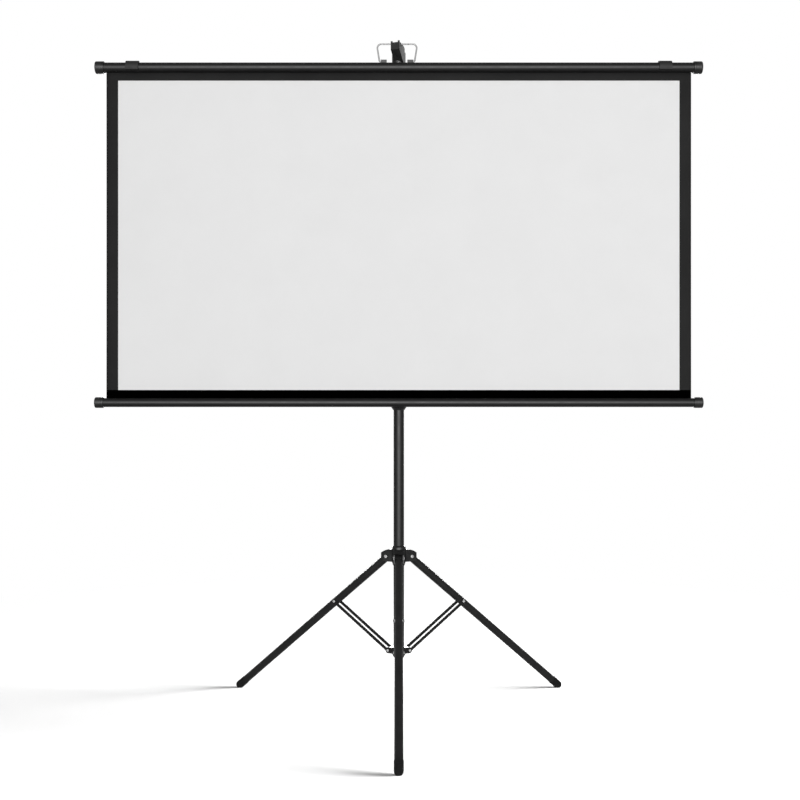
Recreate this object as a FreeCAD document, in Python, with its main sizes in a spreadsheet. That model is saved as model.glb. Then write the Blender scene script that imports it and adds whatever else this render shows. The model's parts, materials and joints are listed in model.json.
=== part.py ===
import FreeCAD, Part
import math
import os
import Sketcher

# Portable projection screen on a folding tripod.
# Millimetres, +Z up. The origin is on the floor under the mast's axis.
# The screen faces -Y, and one leg points that way.

SIZES = {
    # Screen fabric
    "fabric_width": 1664.0,
    "fabric_thick": 0.3,
    "fabric_end_gap": 6.0,
    "fabric_lift": 2.5,
    "screen_rise": 953.2,
    "screen_front": 35.0,
    # Top bar
    "bar_od": 28.5,
    "bar_wall": 1.5,
    "bar_slot": 3.0,
    "bead_od": 8.0,
    "cap_length": 25.0,
    "cap_grip": 18.0,
    "cap_edge": 3.0,
    "cap_mouth_edge": 1.2,
    "bar_cap_od": 35.0,
    # Snap-on clips
    "clip_length": 36.6,
    "clip_wall": 4.8,
    "clip_inset": 81.0,
    "clip_low": 9.4,
    "clip_lip": 1.6,
    "clip_lip_out": 1.4,
    # Lower case and roller
    "case_drop": 0.3,
    "case_od": 25.3,
    "case_wall": 1.25,
    "case_slot": 2.6,
    "case_cap_od": 30.6,
    "roller_od": 11.0,
    "roller_wall": 1.2,
    "roller_end_gap": 3.0,
    "roller_plug": 16.0,
    "journal_od": 4.0,
    "journal_depth": 5.0,
    "arbor_length": 340.0,
    "spring_length": 300.0,
    "spring_gap": 0.3,
    # Mast
    "mast_od": 30.0,
    "mast_wall": 1.9,
    "mast_low_z": 166.4,
    "mast_top_z": 889.0,
    "middle_od": 25.0,
    "middle_wall": 1.5,
    "inner_od": 18.0,
    "inner_wall": 1.5,
    "slide_travel": 440.0,
    "tube_overlap": 70.0,
    "bush_length": 25.0,
    "plug_height": 11.3,
    "plug_low_od": 27.0,
    "plug_spigot": 20.0,
    # Bracket at the mast's top, and the clamp above it
    "bracket_grip": 21.8,
    "bracket_rise": 12.0,
    "bracket_flare": 9.2,
    "bracket_od": 45.0,
    "bracket_mouth": 1.1,
    "bracket_edge": 4.5,
    "bridge_gap": 1.5,
    "clamp_od": 36.0,
    "clamp_height": 13.0,
    "clamp_taper": 4.5,
    "clamp_edge": 2.2,
    "stop_gap": 5.0,
    "saddle_width": 76.0,
    "saddle_height": 19.0,
    "saddle_back": 22.0,
    "screw_od": 4.0,
    "screw_head_od": 8.0,
    "screw_head": 2.6,
    "screw_reach": 29.0,
    "screw_bite": 2.5,
    "collar_height": 34.0,
    # Knobs
    "knob_screw_od": 6.0,
    "knob_od": 24.0,
    "knob_length": 13.0,
    "knob_stand": 1.0,
    "knob_edge": 2.2,
    "flute_od": 7.0,
    # Bail, lugs and hook head
    "bail_wire": 4.5,
    "bail_plane": 31.0,
    "bail_lift": 18.5,
    "bail_shift": 5.0,
    "bail_rise": 49.6,
    "bail_foot_half": 50.2,
    "bail_top_half": 57.9,
    "bail_bend": 11.0,
    "bail_foot_bend": 4.0,
    "bail_tip_half": 31.0,
    "lug_inner_half": 29.4,
    "lug_length": 17.2,
    "lug_width": 9.0,
    "lug_cover": 2.2,
    "hook_socket_od": 39.0,
    "hook_socket_lift": 3.1,
    "hook_socket_height": 48.0,
    "hook_wall": 6.0,
    "jaw_width": 27.0,
    "jaw_depth": 38.0,
    "jaw_centre": 24.0,
    "jaw_shift": 3.0,
    "jaw_lift": 19.1,
    "jaw_foot": 9.0,
    "nose_lift": 50.8,
    "nose_height": 19.9,
    "jaw_arch": 12.8,
    "jaw_arch_run": 33.0,
    "notch_width": 6.6,
    "notch_low_gap": 0.4,
    "horn_height": 4.2,
    "horn_width": 5.0,
    "horn_depth": 3.0,
    "bar_clearance": 2.5,
    # Hub
    "hub_pivot_z": 445.4,
    "hub_pivot_r": 36.0,
    "hub_od": 39.6,
    "hub_low_z": 420.9,
    "hub_low_od": 33.0,
    "lobe_low_z": 431.2,
    "lobe_top_z": 467.5,
    "lobe_reach": 51.0,
    "lobe_arch": 62.0,
    "hub_top_z": 478.1,
    "hub_chamfer": 4.5,
    "clevis_wall": 3.0,
    "core_gap": 1.5,
    "slot_inner_r": 22.6,
    "slot_top": 12.8,
    "hub_boss_od": 15.0,
    "hub_boss_r": 27.0,
    "hub_boss_lift": 5.0,
    # Legs and feet
    "leg_od": 22.4,
    "leg_wall": 1.2,
    "leg_start": 12.0,
    "leg_head_od": 21.0,
    "leg_head_width": 22.0,
    "leg_head_root": 4.0,
    "leg_spigot": 20.0,
    "foot_r": 572.0,
    "foot_centre_z": 9.0,
    "foot_od": 24.4,
    "foot_cup": 26.0,
    "foot_rim": 0.4,
    "foot_step": 1.2,
    "foot_wall": 3.0,
    "floor_block": 60.0,
    # Struts and lower collar
    "strut_on_leg": 229.0,
    "strut_width": 9.0,
    "strut_thick": 2.0,
    "strut_side": 12.3,
    "leg_bush_od": 8.0,
    "collar_pivot_z": 175.3,
    "collar_pivot_r": 29.0,
    "collar_od": 39.0,
    "collar_low_z": 166.4,
    "collar_top_z": 186.2,
    "lug_round_od": 17.0,
    # Rivets
    "rivet_od": 6.0,
    "rivet_head_od": 9.6,
    "rivet_head": 1.8,
    "strut_rivet_head_od": 8.0,
    # Clearances
    "run_gap": 0.05,
    "seat_gap": 0.05,
    "side_gap": 0.3,
    "overrun": 5.0,
}

ROLL_WRAPS = 2
KNOB_FLUTES = 6
ARCH_STEPS = 6
HOOK_TURN = -24.0
AZIMUTHS = {"front": -90.0, "right": 30.0, "left": 150.0}
SIDES = {"left": -1, "right": 1}

X_AXIS = FreeCAD.Vector(1, 0, 0)
Y_AXIS = FreeCAD.Vector(0, 1, 0)
Z_AXIS = FreeCAD.Vector(0, 0, 1)
UPRIGHT = FreeCAD.Rotation()
ALONG_X = FreeCAD.Rotation(Y_AXIS, 90)
ALONG_MINUS_X = FreeCAD.Rotation(Y_AXIS, -90)
ALONG_Y = FreeCAD.Rotation(X_AXIS, -90)

doc = FreeCAD.newDocument("ProjectionScreen")
sheet = doc.addObject("Spreadsheet::Sheet", "Sizes")
for row, (alias, length) in enumerate(SIZES.items(), start=1):
    sheet.set(f"A{row}", alias)
    sheet.set(f"B{row}", str(length))
    sheet.setAlias(f"B{row}", alias)
doc.recompute()


def number(value):
    """The number that a size holds now."""
    return value.number if isinstance(value, Size) else float(value)


def text(value):
    """The same size as text for an expression."""
    return value.text if isinstance(value, Size) else repr(value)


class Size:
    """A sum of sheet cells, kept as its number and as expression text."""

    def __init__(self, value, words):
        self.number = value
        self.text = words

    def __add__(self, other):
        return Size(self.number + number(other), f"({self.text} + {text(other)})")

    def __radd__(self, other):
        return self + other

    def __sub__(self, other):
        return Size(self.number - number(other), f"({self.text} - {text(other)})")

    def __rsub__(self, other):
        return Size(number(other) - self.number, f"({text(other)} - {self.text})")

    def __mul__(self, other):
        return Size(self.number * number(other), f"({self.text} * {text(other)})")

    def __rmul__(self, other):
        return self * other

    def __truediv__(self, other):
        return Size(self.number / number(other), f"({self.text} / {text(other)})")

    def __neg__(self):
        return Size(-self.number, f"(0 - {self.text})")


class Cells:
    """Reads a cell of the sheet by its alias, as a Size."""

    def __getattr__(self, alias):
        return Size(float(sheet.get(alias)), f"Sizes.{alias}")


d = Cells()
parts = {}


def vector(x, y, z):
    """A point from sizes or numbers."""
    return FreeCAD.Vector(number(x), number(y), number(z))


def bind(item, prop, value):
    """Tie one property of an object to the sheet."""
    if isinstance(value, Size):
        item.setExpression(prop, value.text)
    else:
        setattr(item, prop, value)


def put(item, x=0, y=0, z=0, turn=UPRIGHT):
    """Place an object, with each coordinate tied to the sheet."""
    item.Placement = FreeCAD.Placement(vector(x, y, z), turn)
    for axis, value in zip("xyz", (x, y, z)):
        if isinstance(value, Size):
            item.setExpression(f"Placement.Base.{axis}", value.text)
    return item


def cylinder(diameter, height, x=0, y=0, z=0, turn=UPRIGHT):
    """A cylinder along its own Z, from its placed centre."""
    item = doc.addObject("Part::Cylinder", "Cylinder")
    bind(item, "Radius", diameter / 2)
    bind(item, "Height", height)
    return put(item, x, y, z, turn)


def cone(low_diameter, high_diameter, height, x=0, y=0, z=0, turn=UPRIGHT):
    """A cone along its own Z."""
    item = doc.addObject("Part::Cone", "Cone")
    bind(item, "Radius1", low_diameter / 2)
    bind(item, "Radius2", high_diameter / 2)
    bind(item, "Height", height)
    return put(item, x, y, z, turn)


def ball(diameter, x=0, y=0, z=0):
    """A sphere about its placed centre."""
    item = doc.addObject("Part::Sphere", "Ball")
    bind(item, "Radius", diameter / 2)
    return put(item, x, y, z)


def box(length, width, height, x=0, y=0, z=0, turn=UPRIGHT):
    """A box from its lowest corner."""
    item = doc.addObject("Part::Box", "Box")
    bind(item, "Length", length)
    bind(item, "Width", width)
    bind(item, "Height", height)
    return put(item, x, y, z, turn)


def cut(base, *tools):
    """The base less each tool."""
    for tool in tools:
        item = doc.addObject("Part::Cut", "Cut")
        item.Base = base
        item.Tool = tool
        base = item
    return base


def fuse(*items):
    """Several solids joined in one."""
    item = doc.addObject("Part::MultiFuse", "Fuse")
    item.Shapes = list(items)
    return item


def common(first, second):
    """What two solids share."""
    item = doc.addObject("Part::Common", "Common")
    item.Base = first
    item.Tool = second
    return item


def group(*items):
    """Separate solids kept together as one sub-part."""
    item = doc.addObject("Part::Compound", "Group")
    item.Links = list(items)
    return item


def name(item, label):
    """Give a finished sub-part its own label."""
    item.Label = label
    parts[label] = item
    return item


def tube(outer, inner, length, x=0, y=0, z=0, turn=UPRIGHT):
    """A round tube along its own Z."""
    bore = cylinder(inner, length + 2 * d.overrun, z=-d.overrun)
    return put(cut(cylinder(outer, length), bore), x, y, z, turn)


def outline(body, plane, points):
    """A closed sketch of straight edges, with every corner tied to the sheet."""
    sketch = body.newObject("Sketcher::SketchObject", "Outline")
    support = [item for item in body.Origin.OriginFeatures if item.Role == plane]
    sketch.AttachmentSupport = [(support[0], "")]
    sketch.MapMode = "FlatFace"
    corners = [vector(across, up, 0) for across, up in points]
    for index, corner in enumerate(corners):
        following = corners[(index + 1) % len(corners)]
        sketch.addGeometry(Part.LineSegment(corner, following), False)
    for index in range(len(corners)):
        after = (index + 1) % len(corners)
        sketch.addConstraint(Sketcher.Constraint("Coincident", index, 2, after, 1))
    for index, (across, up) in enumerate(points):
        for kind, value in (("DistanceX", across), ("DistanceY", up)):
            rule = Sketcher.Constraint(kind, -1, 1, index, 1, number(value))
            place = sketch.addConstraint(rule)
            if isinstance(value, Size):
                sketch.setExpression(f"Constraints[{place}]", value.text)
    return sketch


def turned(points):
    """A body turned about Z from points given as radius and height."""
    body = doc.addObject("PartDesign::Body", "Turned")
    sketch = outline(body, "XZ_Plane", points)
    feature = body.newObject("PartDesign::Revolution", "Turning")
    feature.Profile = sketch
    feature.ReferenceAxis = (sketch, ["V_Axis"])
    feature.Angle = 360.0
    return body


def plate(points, width):
    """A body of an outline in Y and Z, padded towards +X."""
    body = doc.addObject("PartDesign::Body", "Plate")
    sketch = outline(body, "YZ_Plane", points)
    feature = body.newObject("PartDesign::Pad", "Thickness")
    feature.Profile = sketch
    bind(feature, "Length", width)
    return body


# Driven sizes that several pieces share
case_axis_z = d.mast_top_z - d.case_drop
bar_z = case_axis_z + d.screen_rise
screen_y = -d.screen_front
wrap_thick = ROLL_WRAPS * d.fabric_thick
wrap_r = d.roller_od / 2 + wrap_thick
case_y = screen_y - wrap_r + d.fabric_thick / 2
tube_span = d.fabric_width + 2 * d.fabric_end_gap
tube_end = tube_span / 2 + d.cap_grip
mast_bore = d.mast_od - 2 * d.mast_wall
middle_bore = d.middle_od - 2 * d.middle_wall
bracket_low_z = d.mast_top_z - d.bracket_grip
bracket_top_z = d.mast_top_z + d.bracket_rise
clamp_top_z = bracket_top_z + d.clamp_height
upper_low_z = clamp_top_z + d.slide_travel + d.stop_gap
upper_top_z = upper_low_z + d.collar_height
middle_top_z = upper_top_z - d.clamp_height
middle_low_z = d.mast_top_z - d.tube_overlap
inner_low_z = middle_top_z - d.tube_overlap
hook_low_z = bar_z + d.hook_socket_lift
hook_top_z = hook_low_z + d.hook_socket_height
inner_top_z = hook_top_z - d.hook_wall
bail_pivot_z = bar_z + d.bail_lift
strut_outer = d.strut_side + d.strut_thick


def make_fabric():
    """The sheet from the roll's rear tangent up into the bar's slot."""
    low = case_axis_z + d.fabric_lift
    high = bar_z - d.bar_od / 2 + d.bar_wall - d.seat_gap
    sheet_box = box(d.fabric_width, d.fabric_thick, high - low,
                    -d.fabric_width / 2, screen_y - d.fabric_thick / 2, low)
    name(sheet_box, "screen_fabric")


def make_top_bar():
    """The slotted bar with its bead, caps and clips."""
    length = 2 * tube_end
    bar = cut(cylinder(d.bar_od, length),
              cylinder(d.bar_od - 2 * d.bar_wall, length + 2 * d.overrun, z=-d.overrun),
              box(d.bar_od, d.bar_slot, length + 2 * d.overrun, y=-d.bar_slot / 2, z=-d.overrun))
    name(put(bar, -tube_end, screen_y, bar_z, ALONG_X), "top_bar")
    bead_z = bar_z - d.bar_od / 2 + d.bar_wall + d.bead_od / 2
    bead = cylinder(d.bead_od, d.fabric_width, -d.fabric_width / 2, screen_y, bead_z, ALONG_X)
    name(bead, "fabric_bead")
    for side, sign in SIDES.items():
        turn = ALONG_X if sign > 0 else ALONG_MINUS_X
        cap = turned(cap_points(d.bar_cap_od, d.bar_od))
        name(put(cap, sign * tube_span / 2, screen_y, bar_z, turn), f"bar_cap_{side}")
        make_clip(side, sign)


def cap_points(outer, bore):
    """Outline of a plain cap: a cup with broken edges."""
    rim = outer / 2
    inside = bore / 2 + d.seat_gap
    return [(0, d.cap_grip + d.seat_gap), (inside, d.cap_grip + d.seat_gap), (inside, 0),
            (rim - d.cap_mouth_edge, 0), (rim, d.cap_mouth_edge), (rim, d.cap_length - d.cap_edge),
            (rim - d.cap_edge, d.cap_length), (0, d.cap_length)]


def make_clip(side, sign):
    """A C-shaped clip over the bar, open below, with a lip along its front edge."""
    outer = d.bar_od + 2 * d.clip_wall
    inner = d.bar_od + 2 * d.side_gap
    long = d.clip_length + 2 * d.overrun
    ring = cut(cylinder(outer, d.clip_length),
               cylinder(inner, long, z=-d.overrun),
               box(outer, outer, long, d.clip_low, -outer / 2, -d.overrun))
    lip = cut(box(d.clip_lip, outer / 2 + d.clip_lip_out, d.clip_length,
                  d.clip_low - d.clip_lip, -outer / 2 - d.clip_lip_out, 0),
              cylinder(inner + d.clip_wall, long, z=-d.overrun))
    low_x = sign * (tube_span / 2 - d.clip_inset) - d.clip_length / 2
    name(put(fuse(ring, lip), low_x, screen_y, bar_z, ALONG_X), f"bar_clip_{side}")


def make_case():
    """The slotted lower case, its caps, and the roller inside."""
    length = 2 * tube_end
    slot_y = screen_y - case_y - d.case_slot / 2
    shell = cut(cylinder(d.case_od, length),
                cylinder(d.case_od - 2 * d.case_wall, length + 2 * d.overrun, z=-d.overrun),
                box(d.case_od, d.case_slot, length + 2 * d.overrun, -d.case_od, slot_y, -d.overrun))
    put(shell, -tube_end, case_y, case_axis_z, ALONG_X)
    holes = [cylinder(d.screw_od + 2 * d.run_gap, d.case_od, sign * d.screw_reach, case_y,
                      case_axis_z, ALONG_Y) for sign in SIDES.values()]
    name(cut(shell, *holes), "case_tube")
    for side, sign in SIDES.items():
        turn = ALONG_X if sign > 0 else ALONG_MINUS_X
        cap = turned(bearing_cap_points())
        name(put(cap, sign * tube_span / 2, case_y, case_axis_z, turn), f"case_cap_{side}")
    make_roller()


def bearing_cap_points():
    """Outline of a case cap, with a blind bearing hole in its end wall."""
    plain = cap_points(d.case_cap_od, d.case_od)
    hole = d.journal_od / 2 + d.run_gap
    floor = d.cap_grip + d.seat_gap
    return [(0, floor + d.journal_depth), (hole, floor + d.journal_depth), (hole, floor)] + plain[1:]


def make_roller():
    """The roller tube on its plugs, with the spring, its arbor and the last wraps of fabric."""
    half = tube_end - d.roller_end_gap
    bore = d.roller_od - 2 * d.roller_wall
    core = tube(d.roller_od, bore, 2 * half, -half, case_y, case_axis_z, ALONG_X)
    name(core, "roller_tube")
    wraps = tube(2 * wrap_r, d.roller_od + 2 * d.seat_gap, d.fabric_width,
                 -d.fabric_width / 2, case_y, case_axis_z, ALONG_X)
    name(wraps, "fabric_wraps")
    spigot = bore - 2 * d.seat_gap
    journal_end = tube_end + d.journal_depth - d.seat_gap
    driven = fuse(cylinder(spigot, d.roller_plug),
                  cylinder(d.journal_od, d.roller_plug + journal_end - half))
    name(put(driven, half - d.roller_plug, case_y, case_axis_z, ALONG_X), "roller_plug_right")
    bearing = tube(spigot, d.journal_od + 2 * d.run_gap, d.roller_plug,
                   -half, case_y, case_axis_z, ALONG_X)
    name(bearing, "roller_plug_left")
    arbor = cylinder(d.journal_od, d.arbor_length, -journal_end, case_y, case_axis_z, ALONG_X)
    name(arbor, "spring_arbor")
    spring = tube(bore - 2 * d.spring_gap, d.journal_od + 2 * d.spring_gap, d.spring_length,
                  d.roller_plug - half, case_y, case_axis_z, ALONG_X)
    name(spring, "roller_spring")


def make_mast():
    """Three telescoping tubes, their guide bushes and the plug at the foot."""
    outer = tube(d.mast_od, mast_bore, d.mast_top_z - d.mast_low_z, z=d.mast_low_z)
    name(outer, "mast_outer_tube")
    middle = tube(d.middle_od, middle_bore, middle_top_z - middle_low_z, z=middle_low_z)
    name(middle, "mast_middle_tube")
    inner = tube(d.inner_od, d.inner_od - 2 * d.inner_wall, inner_top_z - inner_low_z, z=inner_low_z)
    name(inner, "mast_inner_tube")
    lower_bush = tube(mast_bore - 2 * d.run_gap, d.middle_od + 2 * d.seat_gap, d.bush_length, z=middle_low_z)
    name(lower_bush, "middle_guide_bush")
    upper_bush = tube(middle_bore - 2 * d.run_gap, d.inner_od + 2 * d.seat_gap, d.bush_length, z=inner_low_z)
    name(upper_bush, "inner_guide_bush")
    plug = fuse(cone(d.plug_low_od, d.collar_od, d.plug_height, z=d.mast_low_z - d.plug_height),
                cylinder(mast_bore - 2 * d.seat_gap, d.plug_spigot, z=d.mast_low_z))
    name(plug, "mast_foot_plug")


def make_bracket():
    """The flared bracket on the outer tube: a clamp above, and a saddle for the case."""
    seat = d.mast_od / 2 + d.seat_gap
    guide = d.middle_od / 2 + d.run_gap
    wide = d.bracket_od / 2
    neck = d.clamp_od / 2
    ledge = d.mast_top_z + d.seat_gap
    flare_top = bracket_low_z + d.bracket_flare
    sleeve = turned([(seat, bracket_low_z), (seat + d.bracket_mouth, bracket_low_z),
                     (wide, flare_top), (wide, bracket_top_z - d.bracket_edge),
                     (neck, bracket_top_z), (neck, clamp_top_z), (guide, clamp_top_z),
                     (guide, ledge), (seat, ledge)])
    saddle = cut(box(d.saddle_width, -case_y - d.saddle_back, d.saddle_height, -d.saddle_width / 2,
                     case_y, case_axis_z - d.saddle_height / 2),
                 cylinder(d.case_od + 2 * d.seat_gap, d.saddle_width + 2 * d.overrun,
                          -d.saddle_width / 2 - d.overrun, case_y, case_axis_z, ALONG_X))
    bridge = cut(box(d.bracket_od, d.saddle_back, d.saddle_height, -d.bracket_od / 2,
                     -d.saddle_back, case_axis_z - d.saddle_height / 2),
                 cylinder(2 * (seat + d.bridge_gap), 2 * d.saddle_height, z=case_axis_z - d.saddle_height))
    holes = [cylinder(d.screw_od + 2 * d.run_gap, -case_y, sign * d.screw_reach, case_y,
                      case_axis_z, ALONG_Y) for sign in SIDES.values()]
    threaded = cylinder(d.knob_screw_od + 2 * d.run_gap, d.bracket_od, 0, 0,
                        clamp_top_z - d.clamp_height / 2, ALONG_Y)
    name(cut(fuse(sleeve, saddle, bridge), *holes, threaded), "mast_bracket")
    make_case_screws()
    make_knob("lower_clamp_knob", d.middle_od / 2, wide, clamp_top_z - d.clamp_height / 2)


def make_case_screws():
    """Two screws from the bracket's wings into the back of the case."""
    tip_y = case_y + d.case_od / 2 - d.screw_bite
    head_y = -d.saddle_back
    screws = []
    for sign in SIDES.values():
        shank = cylinder(d.screw_od, head_y - tip_y, sign * d.screw_reach, tip_y, case_axis_z, ALONG_Y)
        head = cylinder(d.screw_head_od, d.screw_head, sign * d.screw_reach, head_y, case_axis_z, ALONG_Y)
        screws.append(fuse(shank, head))
    name(group(*screws), "case_screws")


def make_upper_clamp():
    """The clamp collar at the top of the middle tube, and its knob."""
    seat = d.middle_od / 2 + d.seat_gap
    guide = d.inner_od / 2 + d.run_gap
    wide = d.clamp_od / 2
    ledge = middle_top_z + d.seat_gap
    collar = turned([(seat, upper_low_z), (wide - d.clamp_edge, upper_low_z),
                     (wide, upper_low_z + d.clamp_taper), (wide, upper_top_z - d.clamp_edge),
                     (wide - d.clamp_edge, upper_top_z), (guide, upper_top_z),
                     (guide, ledge), (seat, ledge)])
    screw_z = upper_top_z - d.clamp_height / 2
    threaded = cylinder(d.knob_screw_od + 2 * d.run_gap, d.clamp_od, z=screw_z, turn=ALONG_Y)
    name(cut(collar, threaded), "upper_clamp_collar")
    make_knob("upper_clamp_knob", d.inner_od / 2, wide, screw_z)


def make_knob(label, tip_r, boss_r, height):
    """A fluted knob behind the mast, with its clamp screw up to the tube."""
    tip = tip_r + d.run_gap
    head = boss_r + d.knob_stand
    grip = turned([(0, 0), (d.knob_od / 2 - d.knob_edge, 0), (d.knob_od / 2, d.knob_edge),
                   (d.knob_od / 2, d.knob_length - d.knob_edge),
                   (d.knob_od / 2 - d.knob_edge, d.knob_length), (0, d.knob_length)])
    flutes = []
    for index in range(KNOB_FLUTES):
        angle = 2 * math.pi * index / KNOB_FLUTES
        ring = d.knob_od / 2 + d.flute_od / 4
        flutes.append(cylinder(d.flute_od, d.knob_length + 2 * d.overrun,
                               ring * math.cos(angle), ring * math.sin(angle), -d.overrun))
    screw = cylinder(d.knob_screw_od, head - tip, z=tip - head)
    knob = fuse(cut(grip, *flutes), screw)
    name(put(knob, 0, head, height, ALONG_Y), label)


def make_hub():
    """The sliding hub: a sleeve with three arched clevises, rivets and a lock knob."""
    bore = d.mast_od / 2 + d.run_gap
    rim = d.hub_od / 2
    sleeve = turned([(bore, d.hub_low_z), (d.hub_low_od / 2, d.hub_low_z), (rim, d.lobe_low_z),
                     (rim, d.hub_top_z - d.hub_chamfer), (rim - d.hub_chamfer, d.hub_top_z),
                     (bore, d.hub_top_z)])
    boss_z = d.hub_pivot_z + d.hub_boss_lift
    boss = cut(cylinder(d.hub_boss_od, d.hub_boss_r, z=boss_z, turn=ALONG_Y),
               cylinder(2 * (bore + d.core_gap), 2 * d.hub_od, z=boss_z - d.hub_od))
    slots = []
    lobes = []
    for azimuth in AZIMUTHS.values():
        frame = FreeCAD.Placement(FreeCAD.Vector(), FreeCAD.Rotation(Z_AXIS, azimuth))
        lobes.append(placed(hub_lobe(bore), frame))
        slots.append(placed(hub_slot(), frame))
    threaded = cylinder(d.knob_screw_od + 2 * d.run_gap, 2 * d.hub_boss_r, z=boss_z, turn=ALONG_Y)
    name(cut(fuse(sleeve, boss, *lobes), *slots, threaded), "hub")
    make_rivets("hub_rivets", d.hub_pivot_r, d.hub_pivot_z, clevis_half(), d.rivet_head_od)
    make_knob("hub_lock_knob", d.mast_od / 2, d.hub_boss_r, boss_z)


def placed(item, frame):
    """Give an object the placement of its leg."""
    item.Placement = frame
    return item


def clevis_half():
    """Half the width of a leg clevis."""
    return d.leg_od / 2 + d.side_gap + d.clevis_wall


def hub_lobe(bore):
    """One clevis block under a shallow arch, before its slot is cut."""
    half = clevis_half()
    block = box(d.lobe_reach - bore, 2 * half, d.lobe_top_z - d.lobe_low_z, bore, -half, d.lobe_low_z)
    arch = cylinder(2 * d.lobe_arch, 4 * half, bore, -2 * half, d.lobe_top_z - d.lobe_arch, ALONG_Y)
    inside = cylinder(2 * (bore + d.core_gap), 2 * d.lobe_arch, z=d.lobe_low_z - d.lobe_arch / 2)
    return cut(common(block, arch), inside)


def hub_slot():
    """The room for a leg's head between the cheeks, and its rivet hole."""
    half = d.leg_od / 2 + d.side_gap
    top = d.hub_pivot_z + d.slot_top
    room = box(d.lobe_reach, 2 * half, top - d.lobe_low_z + d.overrun, d.slot_inner_r, -half,
               d.lobe_low_z - d.overrun)
    hole = cylinder(d.rivet_od + 2 * d.run_gap, 4 * d.lobe_reach, d.hub_pivot_r, -2 * d.lobe_reach,
                    d.hub_pivot_z, ALONG_Y)
    narrow = common(hole, box(d.lobe_reach, 4 * half, d.lobe_reach, d.slot_inner_r, -2 * half,
                              d.hub_pivot_z - d.lobe_reach / 2))
    return fuse(room, narrow)


def make_rivets(label, radius, height, half, head_od):
    """Three rivets across the leg planes, each with two low heads."""
    rivets = []
    for azimuth in AZIMUTHS.values():
        seat = half + d.seat_gap
        shank = cylinder(d.rivet_od, 2 * seat, 0, -seat, 0, ALONG_Y)
        heads = [cone(head_od, d.rivet_od, d.rivet_head, 0, seat, 0, ALONG_Y),
                 cone(d.rivet_od, head_od, d.rivet_head, 0, -seat - d.rivet_head, 0, ALONG_Y)]
        turn = FreeCAD.Placement(FreeCAD.Vector(), FreeCAD.Rotation(Z_AXIS, azimuth))
        frame = turn.multiply(FreeCAD.Placement(vector(radius, 0, height), UPRIGHT))
        rivets.append(placed(fuse(shank, *heads), frame))
    name(group(*rivets), label)


def leg_drop():
    """The angle of a leg below the horizontal, in degrees."""
    fall = number(d.hub_pivot_z - d.foot_centre_z)
    run = number(d.foot_r - d.hub_pivot_r)
    return math.degrees(math.atan2(fall, run))


def leg_frame(azimuth):
    """A leg's own frame: X down along it from the hub pivot, Y across it."""
    turn = FreeCAD.Placement(FreeCAD.Vector(), FreeCAD.Rotation(Z_AXIS, azimuth))
    tilt = FreeCAD.Placement(vector(d.hub_pivot_r, 0, d.hub_pivot_z), FreeCAD.Rotation(Y_AXIS, leg_drop()))
    return turn.multiply(tilt)


def leg_length():
    """From the hub pivot to the centre of the foot's round end."""
    drop = math.radians(leg_drop())
    return (d.foot_r - d.hub_pivot_r) / math.cos(drop)


def make_leg(side, azimuth):
    """One leg tube with its moulded head, its foot and the bush that the strut bears on."""
    frame = leg_frame(azimuth)
    end = leg_length() - d.foot_wall
    wide = 2 * d.leg_od
    bore = d.leg_od - 2 * d.leg_wall
    leg = cut(cylinder(d.leg_od, end - d.leg_start, d.leg_start, 0, 0, ALONG_X),
              cylinder(bore, end + wide, 0, 0, 0, ALONG_X),
              cylinder(d.leg_bush_od + 2 * d.seat_gap, wide, d.strut_on_leg, -d.leg_od, 0, ALONG_Y))
    name(placed(leg, frame), f"leg_{side}")
    head = fuse(cylinder(d.leg_head_od, d.leg_head_width, 0, -d.leg_head_width / 2, 0, ALONG_Y),
                box(d.leg_start - d.seat_gap, d.leg_head_width, d.leg_head_od,
                    0, -d.leg_head_width / 2, -d.leg_head_od / 2),
                cylinder(bore - 2 * d.seat_gap, d.leg_head_root + d.leg_spigot,
                         d.leg_start - d.leg_head_root, 0, 0, ALONG_X))
    pin_hole = cylinder(d.rivet_od + 2 * d.run_gap, wide, 0, -d.leg_od, 0, ALONG_Y)
    name(placed(cut(head, pin_hole), frame), f"leg_head_{side}")
    reach = d.strut_side - d.side_gap
    bush = cylinder(d.leg_bush_od, 2 * reach, d.strut_on_leg, -reach, 0, ALONG_Y)
    name(placed(group(bush), frame), f"leg_bush_{side}")
    make_foot(side, frame, end)


def make_foot(side, frame, end):
    """A round-ended rubber cup on the leg, cut flat where it stands."""
    centre = leg_length()
    low = end - d.foot_cup
    solid = fuse(cylinder(d.foot_od, centre - d.foot_step - low, low, 0, 0, ALONG_X),
                 ball(d.foot_od - 2 * d.foot_rim, centre, 0, 0))
    seat = cylinder(d.leg_od + 2 * d.seat_gap, d.foot_cup + d.overrun + d.seat_gap, low - d.overrun,
                    0, 0, ALONG_X)
    floor = box(2 * d.floor_block, 2 * d.floor_block, d.floor_block)
    floor_corner = vector(d.foot_r - d.floor_block, -d.floor_block, -d.floor_block)
    local = FreeCAD.Placement(vector(d.hub_pivot_r, 0, d.hub_pivot_z), FreeCAD.Rotation(Y_AXIS, leg_drop()))
    floor.Placement = local.inverse().multiply(FreeCAD.Placement(floor_corner, UPRIGHT))
    name(placed(cut(solid, seat, floor), frame), f"foot_{side}")


def strut_ends():
    """The strut's outer end on the leg: its radius and height, as numbers."""
    drop = math.radians(leg_drop())
    radius = number(d.hub_pivot_r) + number(d.strut_on_leg) * math.cos(drop)
    height = number(d.hub_pivot_z) - number(d.strut_on_leg) * math.sin(drop)
    return radius, height


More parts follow.
